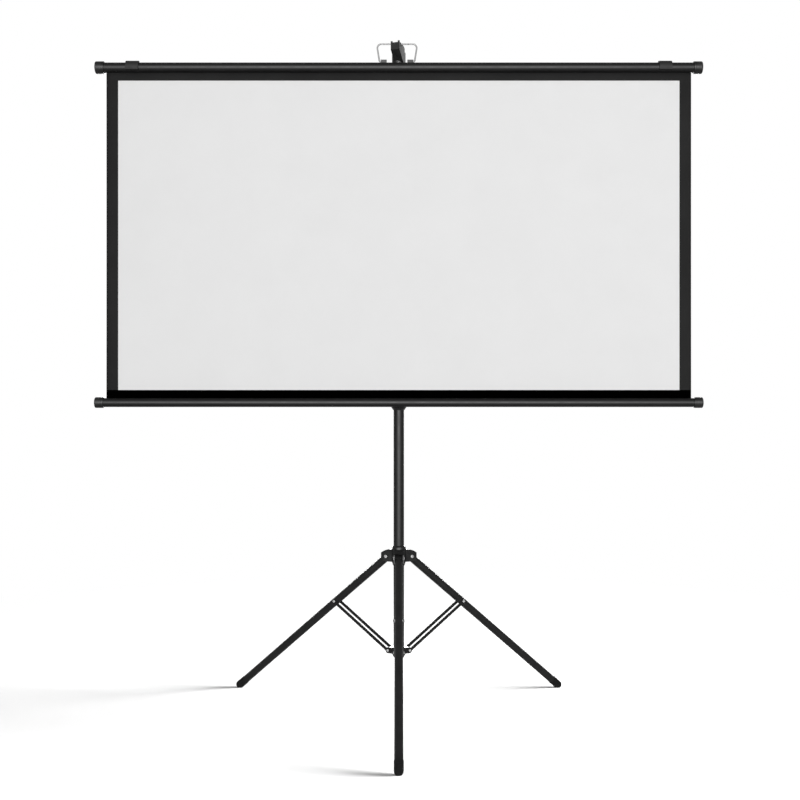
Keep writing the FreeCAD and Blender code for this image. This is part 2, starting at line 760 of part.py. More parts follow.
def make_strut(side, azimuth):
    """A pair of flat bars beside the leg, with the rivet heads of their outer ends."""
    radius, height = strut_ends()
    run = radius - number(d.collar_pivot_r)
    rise = height - number(d.collar_pivot_z)
    length = math.hypot(run, rise)
    turn = FreeCAD.Placement(FreeCAD.Vector(), FreeCAD.Rotation(Z_AXIS, azimuth))
    tilt = FreeCAD.Rotation(Y_AXIS, -math.degrees(math.atan2(rise, run)))
    frame = turn.multiply(FreeCAD.Placement(vector(d.collar_pivot_r, 0, d.collar_pivot_z), tilt))
    bars = []
    heads = []
    for sign in SIDES.values():
        low = d.strut_side if sign > 0 else -strut_outer
        bar = fuse(box(length, d.strut_thick, d.strut_width, 0, low, -d.strut_width / 2),
                   cylinder(d.strut_width, d.strut_thick, 0, low, 0, ALONG_Y),
                   cylinder(d.strut_width, d.strut_thick, length, low, 0, ALONG_Y))
        hole = cylinder(d.rivet_od + 2 * d.run_gap, 4 * strut_outer, 0, -2 * strut_outer, 0, ALONG_Y)
        bars.append(cut(bar, hole))
        if sign > 0:
            heads.append(cone(d.strut_rivet_head_od, d.rivet_od, d.rivet_head, length,
                              strut_outer, 0, ALONG_Y))
        else:
            heads.append(cone(d.rivet_od, d.strut_rivet_head_od, d.rivet_head, length,
                              -strut_outer - d.rivet_head, 0, ALONG_Y))
    name(placed(group(*bars), frame), f"strut_{side}")
    name(placed(group(*heads), frame), f"strut_rivet_{side}")


def make_lower_collar():
    """The fixed collar at the mast's foot: a ring with three lugs between the strut bars."""
    seat = d.mast_od / 2 + d.seat_gap
    tall = d.collar_top_z - d.collar_low_z
    half = d.strut_side - d.side_gap
    ring = cylinder(d.collar_od, tall, z=d.collar_low_z)
    lugs = []
    holes = []
    for azimuth in AZIMUTHS.values():
        frame = FreeCAD.Placement(FreeCAD.Vector(), FreeCAD.Rotation(Z_AXIS, azimuth))
        lug = fuse(box(d.collar_pivot_r, 2 * half, d.lug_round_od, 0, -half,
                       d.collar_pivot_z - d.lug_round_od / 2),
                   cylinder(d.lug_round_od, 2 * half, d.collar_pivot_r, -half, d.collar_pivot_z, ALONG_Y))
        lugs.append(placed(lug, frame))
        hole = cylinder(d.rivet_od + 2 * d.run_gap, 4 * half, d.collar_pivot_r, -2 * half,
                        d.collar_pivot_z, ALONG_Y)
        holes.append(placed(group(hole), frame))
    bore = cylinder(2 * seat, tall + 2 * d.overrun, z=d.collar_low_z - d.overrun)
    name(cut(fuse(ring, *lugs), bore, *holes), "lower_collar")
    make_rivets("collar_rivets", d.collar_pivot_r, d.collar_pivot_z, strut_outer, d.strut_rivet_head_od)


def make_hook():
    """The hook head: a socket on the inner tube, and a turned jaw with a notch for the bail."""
    low = hook_low_z
    socket = cylinder(d.hook_socket_od, d.hook_socket_height, z=low)
    half = d.jaw_depth / 2
    jaw_low_z = bar_z + d.jaw_lift
    nose_low_z = bar_z + d.nose_lift
    nose_top = nose_low_z + d.nose_height
    arch = []
    for step in range(ARCH_STEPS + 1):
        angle = math.pi / 2 * step / ARCH_STEPS
        arch.append((half - d.jaw_arch_run * (1 - round(math.cos(angle), 6)),
                     nose_top - d.jaw_arch * (1 - round(math.sin(angle), 6))))
    foot = [(-half, nose_low_z), (half - d.jaw_foot, jaw_low_z), (half, jaw_low_z)]
    jaw = plate(foot + arch + [(-half, nose_top)], d.jaw_width)
    horns = [box(d.horn_width, d.horn_depth, d.horn_height, place, -half, nose_top)
             for place in (0, d.jaw_width - d.horn_width)]
    head = fuse(jaw, *horns)
    turn = FreeCAD.Placement(vector(-d.jaw_shift, -d.jaw_centre, 0), FreeCAD.Rotation(Z_AXIS, HOOK_TURN))
    placed(head, turn.multiply(FreeCAD.Placement(vector(-d.jaw_width / 2, 0, 0), UPRIGHT)))
    wire_low = bail_pivot_z + d.bail_rise - d.bail_wire / 2
    notch = box(2 * d.jaw_depth, d.notch_width, d.jaw_depth, -d.jaw_depth,
                -d.bail_plane - d.notch_width / 2, wire_low - d.notch_low_gap)
    bore = cylinder(d.inner_od + 2 * d.seat_gap, inner_top_z - low + d.overrun, z=low - d.overrun)
    bar_room = cylinder(d.bar_od + 2 * d.bar_clearance, 2 * d.jaw_depth, -d.jaw_depth, screen_y, bar_z,
                        ALONG_X)
    name(cut(fuse(socket, head), notch, bore, bar_room), "hook_head")


def make_lugs():
    """Two lugs on the bar's crown that the bail's feet turn in."""
    lugs = []
    for sign in SIDES.values():
        near_x = d.lug_inner_half if sign > 0 else -d.lug_inner_half - d.lug_length
        low_x = near_x - d.bail_shift
        tall = d.bail_lift + d.bail_wire / 2 + d.lug_cover
        lug = cut(box(d.lug_length, d.lug_width, tall, low_x, -d.bail_plane - d.lug_width / 2, bar_z),
                  cylinder(d.bar_od + 2 * d.seat_gap, 2 * tube_span, -tube_span, screen_y, bar_z, ALONG_X),
                  cylinder(d.bail_wire + 2 * d.run_gap, d.lug_length + 2 * d.overrun, low_x - d.overrun,
                           -d.bail_plane, bail_pivot_z, ALONG_X))
        lugs.append(lug)
    name(group(*lugs), "bail_lugs")


def make_bail():
    """The wire bail: both feet turned in along the pivot, sides that spread a little, a straight top."""
    half = [vector(d.bail_tip_half, 0, 0), vector(d.bail_foot_half, 0, 0),
            vector(d.bail_top_half, 0, d.bail_rise)]
    points = half + [FreeCAD.Vector(-p.x, p.y, p.z) for p in reversed(half)]
    bends = [number(d.bail_foot_bend), number(d.bail_bend), number(d.bail_bend), number(d.bail_foot_bend)]
    path = rounded_wire(points, bends)
    circle = Part.Circle(points[0], X_AXIS, number(d.bail_wire / 2))
    profile = Part.Wire([circle.toShape()])
    item = doc.addObject("Part::Feature", "Bail")
    item.Shape = path.makePipeShell([profile], True, False)
    item.Placement = FreeCAD.Placement(vector(-d.bail_shift, -d.bail_plane, bail_pivot_z), UPRIGHT)
    name(item, "bail")


def rounded_wire(points, bends):
    """Straight runs through the points, with a tangent arc of the given radius at each inner point."""
    edges = []
    start = points[0]
    for before, corner, after, bend in zip(points, points[1:], points[2:], bends):
        back = (before - corner).normalize()
        ahead = (after - corner).normalize()
        half_angle = back.getAngle(ahead) / 2
        reach = bend / math.tan(half_angle)
        entry = corner + back * reach
        leave = corner + ahead * reach
        middle = (back + ahead).normalize()
        summit = corner + middle * (bend / math.sin(half_angle) - bend)
        edges.append(Part.LineSegment(start, entry).toShape())
        edges.append(Part.Arc(entry, summit, leave).toShape())
        start = leave
    edges.append(Part.LineSegment(start, points[-1]).toShape())
    return Part.Wire(edges)


def main():
    """Build every piece, check it and write it to its own file."""
    make_fabric()
    make_top_bar()
    make_case()
    make_mast()
    make_bracket()
    make_upper_clamp()
    make_hub()
    make_lower_collar()
    for side, azimuth in AZIMUTHS.items():
        make_leg(side, azimuth)
        make_strut(side, azimuth)
    make_hook()
    make_lugs()
    make_bail()
    doc.recompute()
    for item in doc.Objects:
        if "Invalid" in item.State or "Error" in item.State:
            raise RuntimeError(f"{item.Name} ({item.Label}) did not build")
    os.makedirs("parts", exist_ok=True)
    for label, item in parts.items():
        if item.Shape.isNull() or not item.Shape.isValid():
            raise RuntimeError(f"{label} has no valid shape")
        if not item.Shape.Solids:
            raise RuntimeError(f"{label} has no solid")
        item.Shape.exportStep(f"parts/{label}.step")
        print(label, len(item.Shape.Solids), round(item.Shape.Volume, 1))


main()
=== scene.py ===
"""Looks of a portable projection screen on a folding tripod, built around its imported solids."""
import json
import logging
import math
from dataclasses import dataclass, field
from enum import Enum
from typing import Sequence

import bmesh
import bpy
import numpy as np
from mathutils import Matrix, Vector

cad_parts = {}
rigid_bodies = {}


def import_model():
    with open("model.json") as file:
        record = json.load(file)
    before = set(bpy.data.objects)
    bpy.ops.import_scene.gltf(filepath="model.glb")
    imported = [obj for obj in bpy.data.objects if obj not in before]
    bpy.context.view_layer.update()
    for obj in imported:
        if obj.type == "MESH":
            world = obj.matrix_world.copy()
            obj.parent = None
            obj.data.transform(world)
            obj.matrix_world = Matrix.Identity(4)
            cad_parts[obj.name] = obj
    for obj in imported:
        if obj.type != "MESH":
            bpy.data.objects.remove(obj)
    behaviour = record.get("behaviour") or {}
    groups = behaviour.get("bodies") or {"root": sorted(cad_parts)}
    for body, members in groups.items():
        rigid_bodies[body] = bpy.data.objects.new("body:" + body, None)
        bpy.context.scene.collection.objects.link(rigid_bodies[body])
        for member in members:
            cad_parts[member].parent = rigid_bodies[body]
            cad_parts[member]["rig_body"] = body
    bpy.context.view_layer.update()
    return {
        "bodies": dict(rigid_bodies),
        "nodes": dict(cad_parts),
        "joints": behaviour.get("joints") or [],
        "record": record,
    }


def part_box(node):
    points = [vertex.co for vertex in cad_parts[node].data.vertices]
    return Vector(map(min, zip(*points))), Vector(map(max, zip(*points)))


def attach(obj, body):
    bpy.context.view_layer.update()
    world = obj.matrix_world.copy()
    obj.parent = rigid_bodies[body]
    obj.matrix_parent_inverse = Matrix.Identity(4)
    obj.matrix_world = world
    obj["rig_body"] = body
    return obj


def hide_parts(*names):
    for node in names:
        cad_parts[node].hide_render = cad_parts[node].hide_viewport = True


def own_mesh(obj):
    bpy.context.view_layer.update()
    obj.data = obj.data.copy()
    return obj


LOG = logging.getLogger("projection_screen")

MM = 0.001
ON_AXIS = 1e-6
WHITE = (1.0, 1.0, 1.0, 1.0)
Point = tuple[float, float, float]
Pair = tuple[float, float]
Mesh = tuple[np.ndarray, list[tuple[int, ...]]]
Socket = bpy.types.NodeSocket
Object = bpy.types.Object
Material = bpy.types.Material


class Slot(Enum):
    """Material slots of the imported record."""

    METAL = "black_metal"
    PLASTIC = "black_plastic"
    WIRE = "bright_wire"
    RIVET = "rivet_steel"
    CLOTH = "screen_cloth"
    RUBBER = "foot_rubber"
    STEEL = "inner_steel"


class Side(Enum):
    """Left and right as the viewer sees the screen."""

    LEFT = -1
    RIGHT = 1


class LegPlace(Enum):
    """Where each leg points, as its turn from +X in degrees."""

    FRONT = -90.0
    RIGHT = 30.0
    LEFT = 150.0


HIDDEN = {Slot.STEEL: ("roller_tube", "spring_arbor", "roller_spring"), Slot.CLOTH: ("fabric_wraps",),
          Slot.PLASTIC: ("roller_plug_left", "roller_plug_right", "fabric_bead", "middle_guide_bush",
                         "inner_guide_bush")}


def linear(level: float) -> float:
    """Turn a display level from 0 to 255 into a linear value from 0 to 1, by the standard curve."""
    share = level / 255
    return share / 12.92 if share <= 0.04045 else ((share + 0.055) / 1.055) ** 2.4


def grey(level: float) -> Point:
    """A neutral linear colour from a display level."""
    return (linear(level),) * 3


def put_in_scene(name: str, data: bpy.types.ID) -> Object:
    """Make an object of some data and put it into the scene.

    Args:
        name: The object's name.
        data: Its mesh, lamp or camera.

    Returns:
        The object.
    """
    item = bpy.data.objects.new(name, data)
    bpy.context.scene.collection.objects.link(item)
    return item


def combine(tree: bpy.types.NodeTree, operation: str, first: Socket, second: Socket) -> Socket:
    """Join two values by a maths node.

    Args:
        tree: The node tree to add it to.
        operation: Blender's name of the operation.
        first: First value.
        second: Second value.

    Returns:
        The result's socket.
    """
    node = tree.nodes.new("ShaderNodeMath")
    node.operation = operation
    tree.links.new(first, node.inputs[0])
    tree.links.new(second, node.inputs[1])
    return node.outputs["Value"]


class NodeBench:
    """Adds and links the shader nodes of one material."""

    def __init__(self, name: str) -> None:
        """Start an empty material with a surface shader.

        Args:
            name: The material's name.
        """
        self.material = bpy.data.materials.new(name)
        self.material.use_nodes = True
        self.tree = self.material.node_tree
        self.shader = self.tree.nodes["Principled BSDF"]
        self.coordinates = self.add("ShaderNodeTexCoord")

    def add(self, kind: str, **settings: object) -> bpy.types.Node:
        """Add a node and set its properties.

        Args:
            kind: Blender's node type.
            settings: Property names and values.

        Returns:
            The new node.
        """
        node = self.tree.nodes.new(kind)
        for key, value in settings.items():
            setattr(node, key, value)
        return node

    def link(self, output: Socket, target: Socket) -> None:
        """Join two sockets."""
        self.tree.links.new(output, target)

    def noise(self, scale: float, detail: float) -> Socket:
        """Noise over the object's own coordinates.

        Args:
            scale: Cells to a metre.
            detail: Octaves.

        Returns:
            The noise value's socket.
        """
        node = self.add("ShaderNodeTexNoise")
        node.inputs["Scale"].default_value = scale
        node.inputs["Detail"].default_value = detail
        self.link(self.coordinates.outputs["Object"], node.inputs["Vector"])
        return node.outputs["Fac"]

    def remap(self, value: Socket, low: float, high: float, start: float, stop: float) -> Socket:
        """Map a value from start..stop to low..high, clamped.

        Args:
            value: Socket to read.
            low: Result at start.
            high: Result at stop.
            start: Lower end of the source range.
            stop: Upper end of the source range.

        Returns:
            The mapped socket.
        """
        node = self.add("ShaderNodeMapRange")
        for key, number in (("From Min", start), ("From Max", stop), ("To Min", low), ("To Max", high)):
            node.inputs[key].default_value = number
        self.link(value, node.inputs["Value"])
        return node.outputs["Result"]

    def mix(self, factor: Socket, first: Socket | Point, second: Socket | Point) -> Socket:
        """Mix two colours by a factor.

        Args:
            factor: Socket from 0 to 1.
            first: Colour at 0, or its socket.
            second: Colour at 1, or its socket.

        Returns:
            The colour's socket.
        """
        node = self.add("ShaderNodeMix", data_type="RGBA")
        for key, colour in (("A", first), ("B", second)):
            if isinstance(colour, Socket):
                self.link(colour, node.inputs[key])
            else:
                node.inputs[key].default_value = (*colour, 1.0)
        self.link(factor, node.inputs["Factor"])
        return node.outputs["Result"]

    def bump(self, height: Socket, distance: float) -> None:
        """Raise the surface by a height field.

        Args:
            height: Socket of the height.
            distance: Metres for a height of 1.
        """
        node = self.add("ShaderNodeBump")
        node.inputs["Distance"].default_value = distance
        node.inputs["Strength"].default_value = 1.0
        self.link(height, node.inputs["Height"])
        self.link(node.outputs["Normal"], self.shader.inputs["Normal"])


@dataclass(frozen=True)
class BlackFinish:
    """A black surface: one noise sets its patches of colour and gloss, and a finer one its relief.

    Here and in the other finishes a noise is a pair: its cells to a metre and its octaves.
    """

    name: str
    dark: float
    pale: float
    gloss: Pair
    ior: float
    patch: Pair
    grain: Pair
    grain_height: float
    colour_span: Pair = (0.35, 0.7)
    gloss_span: Pair = (0.3, 0.7)

    def make(self) -> Material:
        """Build the material.

        Returns:
            The material.
        """
        bench = NodeBench(self.name)
        patch = bench.noise(*self.patch)
        share = bench.remap(patch, 0.0, 1.0, *self.colour_span)
        bench.link(bench.mix(share, grey(self.dark), grey(self.pale)), bench.shader.inputs["Base Color"])
        bench.link(bench.remap(patch, *self.gloss, *self.gloss_span), bench.shader.inputs["Roughness"])
        bench.shader.inputs["IOR"].default_value = self.ior
        bench.bump(bench.noise(*self.grain), self.grain_height)
        return bench.material


@dataclass(frozen=True)
class PowderCoat(BlackFinish):
    """Satin black paint on tube: a fine orange peel and faint rub marks."""

    name: str = "satin_black_coat"
    dark: float = 8.0
    pale: float = 13.0
    gloss: Pair = (0.48, 0.55)
    ior: float = 1.17
    patch: Pair = (38.0, 4.0)
    grain: Pair = (900.0, 2.0)
    grain_height: float = 0.06 * MM


@dataclass(frozen=True)
class MouldedPlastic(BlackFinish):
    """Black moulded plastic with a fine spark-eroded grain."""

    name: str = "moulded_black_plastic"
    dark: float = 11.0
    pale: float = 18.0
    gloss: Pair = (0.44, 0.56)
    ior: float = 1.2
    patch: Pair = (60.0, 3.0)
    grain: Pair = (1600.0, 3.0)
    grain_height: float = 0.09 * MM


@dataclass(frozen=True)
class FootRubber(BlackFinish):
    """Matt black rubber with a dusty bloom."""

    name: str = "foot_rubber"
    dark: float = 26.0
    pale: float = 34.0
    gloss: Pair = (0.62, 0.82)
    ior: float = 1.15
    patch: Pair = (120.0, 5.0)
    grain: Pair = (1300.0, 2.0)
    grain_height: float = 0.08 * MM
    colour_span: Pair = (0.45, 0.8)
    gloss_span: Pair = (0.0, 1.0)


@dataclass(frozen=True)
class PlatedMetal:
    """Bright or plain steel with fine drawn scratches."""

    name: str
    level: float
    level_spread: Pair = (-12.0, 8.0)
    gloss: Pair = (0.34, 0.46)
    gloss_span: Pair = (0.3, 0.7)
    scratch: Pair = (700.0, 4.0)
    scratch_height: float = 0.01 * MM

    def make(self) -> Material:
        """Build the material.

        Returns:
            The material.
        """
        bench = NodeBench(self.name)
        scratch = bench.noise(*self.scratch)
        bench.shader.inputs["Metallic"].default_value = 1.0
        dark, pale = (grey(self.level + change) for change in self.level_spread)
        bench.link(bench.mix(scratch, dark, pale), bench.shader.inputs["Base Color"])
        bench.link(bench.remap(scratch, *self.gloss, *self.gloss_span), bench.shader.inputs["Roughness"])
        bench.bump(scratch, self.scratch_height)
        return bench.material


@dataclass(frozen=True)
class ScreenCloth:
    """Matt white screen cloth with a printed border and a black strip of painted shade along its foot, all
    laid out on its UV map.
    """

    name: str = "screen_cloth"
    white: float = 231.0
    white_spread: Pair = (-1.0, 1.0)
    border: float = 44.0
    border_spread: Pair = (-3.0, 2.0)
    # Black of the painted shade along the cloth's foot, darker than the border's grey.
    foot_shade: float = 0.0
    edge: float = 0.0002
    mottle: Pair = (9.0, 3.0)
    mottle_span: Pair = (0.3, 0.7)
    roughness: float = 0.92
    ior: float = 1.05
    threads_per_metre: float = 1400.0
    full_turn: float = 6.283
    weave_height: float = 0.04 * MM

    def make(self, side: float, head: float, foot: float) -> Material:
        """Build the material.

        Args:
            side: Share of the width that each side border takes.
            head: Share of the height that the head border takes.
            foot: Share of the height that the black strip of painted shade at the foot takes.

        Returns:
            The cloth's material.
        """
        bench = NodeBench(self.name)
        split = bench.add("ShaderNodeSeparateXYZ")
        bench.link(bench.coordinates.outputs["UV"], split.inputs["Vector"])
        across, up = split.outputs["X"], split.outputs["Y"]
        frame = self.step(bench, across, side, 1.0, 0.0)
        for value, place in ((across, 1 - side), (up, 1 - head)):
            frame = combine(bench.tree, "MAXIMUM", frame, self.step(bench, value, place, 0.0, 1.0))
        mottle = bench.remap(bench.noise(*self.mottle), 0.0, 1.0, *self.mottle_span)
        white = bench.mix(mottle, *(grey(self.white + change) for change in self.white_spread))
        border = bench.mix(mottle, *(grey(self.border + change) for change in self.border_spread))
        printed = bench.mix(frame, white, border)
        # Below the foot share the print gives way to black: painted shade at the cloth's foot.
        foot_shaded = bench.mix(self.step(bench, up, foot, 1.0, 0.0), printed, grey(self.foot_shade))
        bench.link(foot_shaded, bench.shader.inputs["Base Color"])
        bench.shader.inputs["Roughness"].default_value = self.roughness
        bench.shader.inputs["IOR"].default_value = self.ior
        bench.bump(self.weave(bench), self.weave_height)
        return bench.material

    def step(self, bench: NodeBench, value: Socket, place: float, before: float, after: float) -> Socket:
        """A narrow step at a printed edge, from the result before it to the result after it."""
        return bench.remap(value, before, after, place - self.edge, place + self.edge)

    def weave(self, bench: NodeBench) -> Socket:
        """A plain weave: the product of two thread waves, along and across the cloth.

        Args:
            bench: The material's bench.

        Returns:
            The height socket.
        """
        waves = []
        for direction in ("X", "Z"):
            node = bench.add("ShaderNodeTexWave", wave_type="BANDS", bands_direction=direction)
            node.inputs["Scale"].default_value = self.threads_per_metre / self.full_turn
            bench.link(bench.coordinates.outputs["Object"], node.inputs["Vector"])
            waves.append(node.outputs["Fac"])
        return combine(bench.tree, "MULTIPLY", *waves)


@dataclass(frozen=True)
class Axis:
    """A local frame: an origin, the direction along it, two directions across it and a length."""

    origin: np.ndarray
    along: np.ndarray
    across: np.ndarray
    up: np.ndarray
    length: float = 1.0

    @classmethod
    def from_to(cls, start: Sequence[float], end: Sequence[float],
                across: Sequence[float] = (0.0, 1.0, 0.0)) -> "Axis":
        """A frame along a line.

        Args:
            start: Its origin.
            end: The line's other end.
            across: Roughly the first cross direction.

        Returns:
            The frame.
        """
        first = np.array(start, float)
        along = np.array(end, float) - first
        length = float(np.linalg.norm(along))
        along /= length
        side = np.array(across, float)
        side -= along * (side @ along)
        side /= np.linalg.norm(side)
        return cls(first, along, side, np.cross(along, side), length)

    def place(self, along: np.ndarray, across: np.ndarray, up: np.ndarray) -> np.ndarray:
        """Points given by their distances in this frame, as an array of points of the scene."""
        return (self.origin + np.multiply.outer(along, self.along) + np.multiply.outer(across, self.across)
                + np.multiply.outer(up, self.up))


class Shapes:
    """Surfaces worked out on a grid of two parameters."""

    @staticmethod
    def grid_faces(rows: int, columns: int, wrap_rows: bool, wrap_columns: bool) -> list[tuple[int, ...]]:
        """Quads of a grid of points.

        Args:
            rows: Points on the first parameter.
            columns: Points on the second.
            wrap_rows: Join the last row to the first.
            wrap_columns: Join the last column to the first.

        Returns:
            The faces as index tuples.
        """
        i, j = np.meshgrid(np.arange(rows if wrap_rows else rows - 1),
                           np.arange(columns if wrap_columns else columns - 1), indexing="ij")
        ni, nj = (i + 1) % rows, (j + 1) % columns
        quads = np.stack([i * columns + j, ni * columns + j, ni * columns + nj, i * columns + nj], axis=-1)
        return [tuple(quad) for quad in quads.reshape(-1, 4).tolist()]

    @staticmethod
    def end_faces(rows: int, columns: int) -> list[tuple[int, ...]]:
        """The two faces that close the first and the last ring of a grid."""
        last = (rows - 1) * columns
        return [tuple(range(columns)), tuple(range(last, last + columns))]

    @classmethod
    def lathe(cls, profile: np.ndarray, axis: Axis, steps: int, closed: bool = False) -> Mesh:
        """Turn a profile about an axis: each point (r, s) goes to s along and r(cos t, sin t) across.

        Args:
            profile: Pairs of radius and distance along the axis.
            axis: The axis.
            steps: Points round a turn.
            closed: Whether the profile is a loop. An open one is closed at its ends by flat discs.

        Returns:
            The mesh.
        """
        turn = np.linspace(0, 2 * math.pi, steps, endpoint=False)
        radius = np.repeat(profile[:, 0][:, None], steps, axis=1)
        along = np.repeat(profile[:, 1][:, None], steps, axis=1)
        points = axis.place(along, radius * np.cos(turn), radius * np.sin(turn))
        faces = cls.grid_faces(len(profile), steps, closed, True)
        if not closed:
            faces += cls.end_faces(len(profile), steps)
        return points.reshape(-1, 3), faces

    @classmethod
    def prism(cls, outline: np.ndarray, axis: Axis, length: float) -> Mesh:
        """Carry a flat outline (across, up) straight along an axis, with both ends closed.

        Args:
            outline: The outline's points.
            axis: The axis, whose origin is the first end.
            length: Distance to the second end.

        Returns:
            The mesh.
        """
        count = len(outline)
        along = np.repeat(np.array([0.0, length])[:, None], count, axis=1)
        points = axis.place(along, np.tile(outline[:, 0], (2, 1)), np.tile(outline[:, 1], (2, 1)))
        return points.reshape(-1, 3), cls.grid_faces(2, count, False, True) + cls.end_faces(2, count)

    @classmethod
    def sweep(cls, path: np.ndarray, radius: float, steps: int) -> Mesh:
        """Carry a circle along a path in an upright plane: across the path and along the plane's normal.

        Args:
            path: Points of the path.
            radius: The circle's radius.
            steps: Points round the circle.

        Returns:
            The mesh, with closed ends.
        """
        tangent = np.gradient(path, axis=0)
        tangent /= np.linalg.norm(tangent, axis=1)[:, None]
        normal = np.array([0.0, 1.0, 0.0])
        side = np.cross(tangent, normal)
        turn = np.linspace(0, 2 * math.pi, steps, endpoint=False)
        points = (path[:, None, :] + radius * (np.cos(turn)[None, :, None] * side[:, None, :]
                                               + np.sin(turn)[None, :, None] * normal))
        rings = len(path)
        return points.reshape(-1, 3), cls.grid_faces(rings, steps, False, True) + cls.end_faces(rings, steps)

    @staticmethod
    def join(meshes: Sequence[Mesh]) -> Mesh:
        """Several separate shells as one mesh.

        Args:
            meshes: The shells.

        Returns:
            Their points and faces together.
        """
        points, faces, start = [], [], 0
        for part, polygons in meshes:
            points.append(part)
            faces.extend(tuple(index + start for index in polygon) for polygon in polygons)
            start += len(part)
        return np.concatenate(points), faces


def arc(centre: Pair, radius: float, start: float, stop: float, steps: int) -> np.ndarray:
    """A number of points on a circular arc, as pairs, from one angle in degrees to another."""
    turn = np.radians(np.linspace(start, stop, steps))
    return np.stack([centre[0] + radius * np.cos(turn), centre[1] + radius * np.sin(turn)], axis=1)


def rise_angle(rise: float, radius: float) -> float:
    """The angle in degrees at which a circle has risen by a height."""
    return math.degrees(math.asin(rise / radius))


def tube_profile(radius: float, wall: float, low: float, high: float) -> np.ndarray:
    """A tube's wall as a closed loop for a lathe, its outer rims broken by a third of the wall."""
    rim, bore = wall / 3, radius - wall
    return np.array([[bore, low], [radius - rim, low], [radius, low + rim],
                     [radius, high - rim], [radius - rim, high], [bore, high]])


@dataclass
class Workshop:
    """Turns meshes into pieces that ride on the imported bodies."""

    frame: dict
    finishes: dict[Slot, Material] = field(default_factory=dict)
    satin: list[Object] = field(default_factory=list)
    weld: float = 1e-7
    copy_weld: float = 1e-6
    flat_within: float = 0.5
    bevel_past: float = 38.0
    bevel_segments: int = 3

    def body_of(self, node: str) -> str:
        """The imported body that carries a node."""
        return self.frame["nodes"][node]["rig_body"]

    def rounded_copy(self, name: str, node: str, slot: Slot, bevel: float) -> None:
        """A copy of a moulded node, merged into flat faces, with its edges rounded.

        Args:
            name: The piece's name.
            node: The node to copy and stand for.
            slot: Its material slot.
            bevel: Width of the rounded edges.
        """
        data = self.frame["nodes"][node].data.copy()
        data.materials.clear()
        shell = bmesh.new()
        shell.from_mesh(data)
        bmesh.ops.remove_doubles(shell, verts=shell.verts, dist=self.copy_weld)
        bmesh.ops.dissolve_limit(shell, angle_limit=math.radians(self.flat_within), verts=shell.verts,
                                 edges=shell.edges)
        shell.to_mesh(data)
        shell.free()
        self.publish(name, data, [node], slot, bevel)

    def publish(self, name: str, mesh: Mesh | bpy.types.Mesh, nodes: Sequence[str], slot: Slot,
                bevel: float = 0.0, sharp: float = 40.0) -> Object:
        """Weld, smooth and dress a mesh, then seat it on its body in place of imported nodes.

        Args:
            name: The piece's name.
            mesh: Points and faces, or a mesh of Blender's.
            nodes: The nodes that it stands for; it rides on the first one's body.
            slot: Its material slot.
            bevel: Width of rounded edges, or 0.
            sharp: Angle in degrees past which an edge stays sharp.

        Returns:
            The new object.
        """
        if isinstance(mesh, bpy.types.Mesh):
            data = mesh
        else:
            data = bpy.data.meshes.new(name)
            data.from_pydata(mesh[0].tolist(), [], mesh[1])
        shell = bmesh.new()
        shell.from_mesh(data)
        bmesh.ops.remove_doubles(shell, verts=shell.verts, dist=self.weld)
        bmesh.ops.recalc_face_normals(shell, faces=shell.faces)
        shell.to_mesh(data)
        shell.free()
        data.polygons.foreach_set("use_smooth", np.ones(len(data.polygons), bool))
        data.set_sharp_from_angle(angle=math.radians(sharp))
        piece = put_in_scene(name, data)
        if bevel:
            modifier = piece.modifiers.new("rounded_edges", "BEVEL")
            modifier.width = bevel
            modifier.segments = self.bevel_segments
            modifier.limit_method = "ANGLE"
            modifier.angle_limit = math.radians(self.bevel_past)
            modifier.harden_normals = True
        piece.data.materials.append(self.finishes[slot])
        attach(piece, self.body_of(nodes[0]))
        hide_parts(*nodes)
        if slot in (Slot.METAL, Slot.PLASTIC):
            self.satin.append(piece)
        LOG.info("%s stands for %s", name, ", ".join(nodes))
        return piece

    def paint(self, node: str, slot: Slot) -> None:
        """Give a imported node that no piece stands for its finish."""
        self.frame["nodes"][node].data.materials.clear()
        self.frame["nodes"][node].data.materials.append(self.finishes[slot])


@dataclass
class ScreenSheet:
    """The cloth between the case and the top bar."""

    shop: Workshop
    cloth: ScreenCloth
    side_border: float = 33.2 * MM
    white_low: float = 924.4 * MM
    white_high: float = 1804.8 * MM
    thickness: float = 0.5 * MM
    slack: float = 0.6 * MM
    waves: int = 3
    columns: int = 105
    rows: int = 61
    mast_stages: int = 2

    def build(self) -> None:
        """The sheet: a plane in x and z, with a slack of a long, very shallow wave.

        The wave is the slack times the sine of half a turn up and the cosine of some turns across.
        """
        low, high = np.array(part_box("screen_fabric"))
        across, up = np.meshgrid(np.linspace(0, 1, self.columns), np.linspace(0, 1, self.rows))
        wave = self.slack * np.sin(math.pi * up) * np.cos(2 * math.pi * self.waves * across)
        width, tall = high[0] - low[0], high[2] - low[2]
        depth = (low[1] + high[1]) / 2 + wave
        points = np.stack([low[0] + across * width, depth, low[2] + up * tall], axis=-1)
        faces = Shapes.grid_faces(self.rows, self.columns, False, False)
        data = bpy.data.meshes.new("screen_cloth")
        data.from_pydata(points.reshape(-1, 3).tolist(), [], faces)
        layer = data.uv_layers.new(name="cloth_layout")
        corners = np.empty(len(data.loops), np.int32)
        data.loops.foreach_get("vertex_index", corners)
        flat = np.stack([across.ravel(), up.ravel()], axis=1)
        layer.data.foreach_set("uv", flat[corners].astype(np.float32).ravel())
        data.polygons.foreach_set("use_smooth", np.ones(len(data.polygons), bool))
        piece = put_in_scene("screen_cloth", data)
        piece.data.materials.append(self.cloth.make(
            self.side_border / width, (high[2] - self.white_high) / tall, (self.white_low - low[2]) / tall))
        solid = piece.modifiers.new("cloth_thickness", "SOLIDIFY")
        solid.thickness = self.thickness
        solid.offset = 0.0
        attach(piece, "mast")
        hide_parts("screen_fabric")
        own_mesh(piece)
        LOG.info("screen_cloth stands for screen_fabric")


